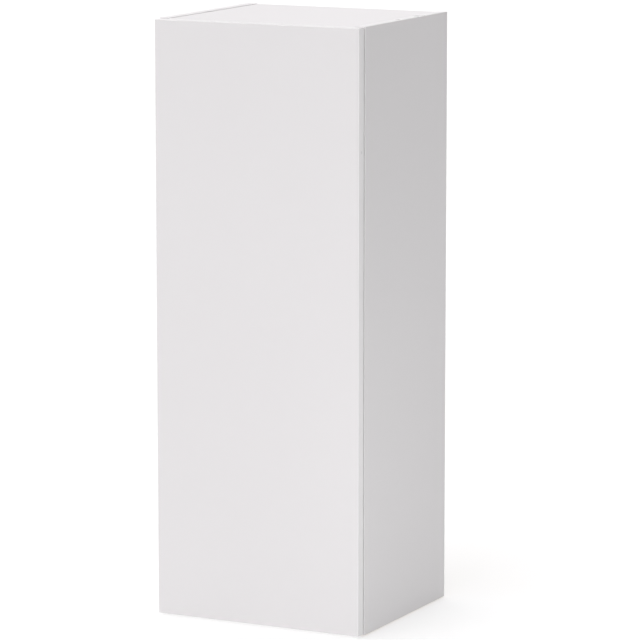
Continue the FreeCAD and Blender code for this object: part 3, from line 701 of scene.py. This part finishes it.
for row, hand in foot_rows:
    foot, at = "foot_%s_%s" % (row, hand), foot_middles[row, hand]
    spindle_low, spindle_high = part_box("foot_spindle_%s_%s" % (row, hand))
    pad_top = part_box("foot_pad_%s_%s" % (row, hand))[1].z
    spindle_mesh = made_by(spindle_rule, marks([((at.x, at.y, spindle_low.z), (0, 0, 1), 0.3)]), Radius=0.005,
                           Length=spindle_high.z - spindle_low.z, Thread_Depth=0.0007, Pitch=0.0015,
                           Key_Radius=0.0029, Key_Depth=0.010, Finish=zinc_steel)
    fit_piece("foot_threaded_spindle_%s_%s" % (row, hand), spindle_mesh, foot, "zinc_steel",
              "foot_spindle_%s_%s" % (row, hand))
    pad_blank_piece = turned("pad_blank", [
        (0, 0.0004), (0.011, 0.0004), (0.0118, 0), (0.0140, 0), (0.0149, 0.0005), (0.0153, 0.0013),
        (0.0153, pad_top - 0.0017), (0.0148, pad_top - 0.0007), (0.0138, pad_top - 0.0001), (0.0090, pad_top),
        (0.0082, pad_top - 0.0004), (0.0062, pad_top - 0.0004), (0.0058, pad_top), (0.0052, pad_top),
        (0.0052, 0.003), (0, 0.003)], 64)
    pad_mesh = made_by(pad_rule, marks([((at.x, at.y, 0), (0, 0, 1), 0)]), Blank=pad_blank_piece, Ribs=36,
                       Rim_Radius=0.01525, Rib_Size=(0.0014, 0.0012, pad_top - 0.0034),
                       Rib_Height=pad_top / 2 - 0.0002, Finish=nylon_black)
    bpy.data.objects.remove(pad_blank_piece)
    fit_piece("foot_ribbed_pad_%s_%s" % (row, hand), pad_mesh, foot, "nylon_black",
              "foot_pad_%s_%s" % (row, hand))

cap_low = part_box("foot_access_caps")[0]
z_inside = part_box("bottom_panel")[1].z
cap_root = cap_low.z - z_inside
key_cap = turned("key_cap", [
    (0, cap_root), (0.0046, cap_root), (0.0052, cap_root + 0.0008), (0.0054, -0.0045), (0.00545, -0.004),
    (0.0054, -0.0035), (0.0054, 0), (0.0085, 0), (0.0085, 0.00055), (0.0082, 0.00095), (0.0076, 0.0012),
    (0.0056, 0.00115), (0.0052, 0.00095), (0.0048, 0.00095), (0.0044, 0.0011), (0, 0.0011)])
key_places = [((at.x, at.y, z_inside), (0, 0, 1), 0) for at in foot_middles.values()]
key_mesh = row_of(key_cap, key_places, cap_white)
fit_piece("foot_key_hole_caps", key_mesh, "carcass", "cap_white", "foot_access_caps")


# ---- door ------------------------------------------------------------------------------------
# One board that covers the whole front, banded on all four edges. It has no handle: a push on
# its right side opens it.
finish_node("door_panel", melamine("door_panel", 1))
for strip in ("door_bands_sides", "door_bands_ends"):
    finish_node(strip, abs_band(strip))


# ---- concealed hinges ---------------------------------------------------------------------
# Pressed and nickelled steel. Each cup is let into the door with two screws, and a gooseneck
# arm reaches from its plate on the side panel to the pin across the cup.
for hinge_part, hinge_body, hinge_round in (
        ("hinge_cups", "door", 0.0002), ("hinge_plates", "carcass", 0.00025),
        ("hinge_arms", "carcass", 0.0002), ("hinge_pins", "door", 0.00015)):
    eased(hinge_part, hinge_body, "nickel_steel", nickel, round_by=hinge_round)


def joined(name, *meshes):
    """Several meshes as one, with their materials kept."""
    work = bmesh.new()
    materials = []
    for mesh in meshes:
        first = len(work.faces)
        work.from_mesh(mesh)
        work.faces.ensure_lookup_table()
        for face in work.faces[first:]:
            material = mesh.materials[face.material_index]
            if material not in materials:
                materials.append(material)
            face.material_index = materials.index(material)
    whole = bpy.data.meshes.new(name)
    work.to_mesh(whole)
    work.free()
    for material in materials:
        whole.materials.append(material)
    return whole


# Sizes of the hinge: the cup and its flange, the screws, the plate and the arm that clips on it.
cup_r, cup_flange, cup_screw_x, cup_screw_z = 0.018, 0.001, 0.0095, 0.0225
plate_thick, plate_screw_y, plate_screw_z = 0.002, 0.037, 0.016
arm_tall, side_screw_y, depth_screw_y = 0.0105, 0.020, 0.052
band, hinge_inset = 0.001, 0.1

door_low, door_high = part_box("door_panel")
y_door_back = door_high.y
cup_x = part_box("hinge_cups")[0].x + cup_r
hinge_heights = [door_low.z - band + hinge_inset, door_high.z + band - hinge_inset]
cup_marks = [((cup_x + cup_screw_x, y_door_back + cup_flange, z + dz), (0, 1, 0), 0.5 + 40 * dz + z)
             for z in hinge_heights for dz in (-cup_screw_z, cup_screw_z)]
fit_piece("hinge_cup_cross_screws", screws(cup_marks, 3.5, 2.0, 1.75, 13.0, nickel), "door", "nickel_steel",
          "hinge_cup_screws")
plate_marks = [((-x_in + plate_thick, y_case + plate_screw_y, z + dz), (1, 0, 0), 0.9 + 50 * dz - z)
               for z in hinge_heights for dz in (-plate_screw_z, plate_screw_z)]
fit_piece("hinge_plate_cross_screws", screws(plate_marks, 5.0, 2.2, 3.15, 13.0, nickel), "carcass",
          "nickel_steel", "hinge_plate_screws")
arm_top = -x_in + arm_tall
side_marks = [((arm_top, y_case + side_screw_y, z), (1, 0, 0), 0.3 + z) for z in hinge_heights]
depth_marks = [((arm_top, y_case + depth_screw_y, z), (1, 0, 0), 0.8 - z) for z in hinge_heights]
adjusters = joined("hinge_arm_cross_screws", screws(side_marks, 3.0, 1.6, 2.0, 7.0, nickel, pointed=False),
                   screws(depth_marks, 4.2, 2.6, 2.5, 7.0, nickel, pointed=False))
fit_piece("hinge_arm_cross_screws", adjusters, "carcass", "nickel_steel", "hinge_arm_screws")


# ---- push latch -------------------------------------------------------------------------------
# A grey moulded housing on the right side panel holds a sprung nylon plunger with a magnet in
# its nose. The magnet holds the steel plate that is screwed to the back of the door.
housing_grey = moulded("housing_grey", (0.42, 0.42, 0.42), (0.36, 0.36, 0.365), 0.38, 0.52,
                       skin_height=0.00003)
eased("latch_housing", "carcass", "housing_grey", housing_grey, round_by=0.0004)
latch_middle = sum(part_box("latch_magnet"), Vector()) / 2
latch_x, latch_z = latch_middle.x, latch_middle.z
tab_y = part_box("latch_housing")[0].y
tab_thick = 0.003
latch_marks = [((x_in - tab_thick, tab_y + dy, latch_z + dz), (-1, 0, 0), 8 * dy)
               for dy, dz in ((0.012, 0.0125), (0.062, -0.0125))]
fit_piece("latch_cross_screws", screws(latch_marks, 3.2, 2.0, 1.75, 15.0, zinc_steel), "carcass",
          "zinc_steel", "latch_screws")

plunger_low, plunger_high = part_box("latch_plunger")
plunger_long, plunger_r = plunger_high.y - plunger_low.y, (plunger_high.z - plunger_low.z) / 2
plunger_profile = [(0, 0), (plunger_r - 0.0007, 0), (plunger_r - 0.0002, 0.0003), (plunger_r, 0.0008)]
groove_r = plunger_r - 0.00035
for ring in (0.004, 0.0065, 0.009, 0.030, 0.0325, 0.035):
    plunger_profile += [(plunger_r, ring), (groove_r, ring + 0.0003), (groove_r, ring + 0.0009),
                        (plunger_r, ring + 0.0012)]
plunger_profile += [(plunger_r, plunger_long - 0.0006), (plunger_r - 0.0005, plunger_long),
                    (0.0024, plunger_long), (0.0022, plunger_long - 0.004), (0, plunger_long - 0.0045)]
plunger_mesh = row_of(turned("plunger_blank", plunger_profile, 56),
                      [((latch_x, plunger_low.y, latch_z), (0, 1, 0), 0)], housing_grey)
fit_piece("latch_turned_plunger", plunger_mesh, "plunger", "housing_grey", "latch_plunger")
magnet_black = metal("magnet_black", (0.16, 0.155, 0.15), (0.09, 0.088, 0.086), 0.42, 0.62,
                     skin_height=0.00002)
eased("latch_magnet", "plunger", "magnet_black", magnet_black, round_by=0.0)

# The spring: a true helix of wire.
spring_rule, spring_in, spring_end = new_rule("coil_spring", [
    ("Marks", "Geometry"), ("Coil Radius", "Float"), ("Wire Radius", "Float"), ("Length", "Float"),
    ("Turns", "Float"), ("Finish", "Material")])
set_out(spring_rule, spring_in, spring_end, wound(
    spring_rule, spring_in["Coil Radius"], spring_in["Length"], spring_in["Turns"], spring_in["Wire Radius"],
    steps=28, sides=10))
spring_low, spring_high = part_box("latch_spring")
spring_steel = metal("spring_steel", (0.50, 0.49, 0.48), (0.36, 0.35, 0.35), 0.26, 0.40)
end_room = 0.0004
spring_mesh = made_by(spring_rule, marks([((latch_x, spring_low.y + end_room, latch_z), (0, 1, 0), 0)]),
                      sharp=60.0, Coil_Radius=0.0032, Wire_Radius=0.00033,
                      Length=spring_high.y - spring_low.y - 2 * end_room, Turns=9.0, Finish=spring_steel)
spring = bpy.data.objects.new("latch_coil_spring", spring_mesh)
scene.collection.objects.link(spring)
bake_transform(spring)
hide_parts("latch_spring")

eased("strike_plate", "door", "zinc_steel", zinc_steel, round_by=0.0)
strike_thick = 0.001
strike_marks = [((latch_x, y_door_back + strike_thick, latch_z), (0, 1, 0), 0.6)]
fit_piece("strike_cross_screw", screws(strike_marks, 2.95, 1.0, 1.75, 13.0, zinc_steel, sunk=True), "door",
          "zinc_steel", "strike_screw")


# ---- bumpers ---------------------------------------------------------------------------------
# Self-adhesive domes of clear rubber on the back of the door. They close softly against the
# edge of the right side panel.
clear_rubber, tree, shader, point = start_material("clear_rubber")
dusty = use_group(tree, handled, point, Smudge_Scale=260.0)
coat(tree, shader, between(tree, dusty["Smudge"], (0.93, 0.94, 0.94, 1), (0.86, 0.87, 0.86, 1), colour=True),
     spread(tree, dusty["Smudge"], 0.35, 0.65, 0.12, 0.34), dusty["Skin"], 0.00001)
shader.inputs["Transmission Weight"].default_value = 0.75
shader.inputs["IOR"].default_value = 1.45
bumper_low, bumper_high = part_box("door_bumpers")
bumper_r, bumper_tall = (bumper_high.x - bumper_low.x) / 2, bumper_high.y - y_door_back
skirt, bulge, dome_steps = 0.0003, 0.62, 9
bumper_profile = [(0, 0), (bumper_r - 0.0002, 0), (bumper_r, skirt)]
for step in range(1, dome_steps):
    lean = math.radians(90 * step / dome_steps)
    bumper_profile.append((bumper_r * math.cos(lean) ** bulge,
                           skirt + (bumper_tall - skirt) * math.sin(lean)))
bumper_profile.append((0, bumper_tall))
bumper_places = [((bumper_low.x + bumper_r, y_door_back, z), (0, 1, 0), 0)
                 for z in (bumper_low.z + bumper_r, bumper_high.z - bumper_r)]
bumper_mesh = row_of(turned("bumper_blank", bumper_profile), bumper_places, clear_rubber)
fit_piece("door_domed_bumpers", bumper_mesh, "door", "clear_rubber", "door_bumpers")


# ---- wall bracket -----------------------------------------------------------------------------
# A zinc-plated steel angle inside, under the top panel at the back. Its hole takes the screw
# that ties the plinth to a wall.
eased("wall_bracket", "carcass", "zinc_steel", zinc_steel, round_by=0.0003)
bracket_thick = 0.002
bracket_middle = sum(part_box("wall_bracket_screw"), Vector()) / 2
bracket_mark = [((bracket_middle.x, bracket_middle.y, z_top_lo - bracket_thick), (0, 0, -1), 0.4)]
fit_piece("wall_bracket_cross_screw", screws(bracket_mark, 4.0, 2.2, 2.0, 14.0, zinc_steel), "carcass",
          "zinc_steel", "wall_bracket_screw")
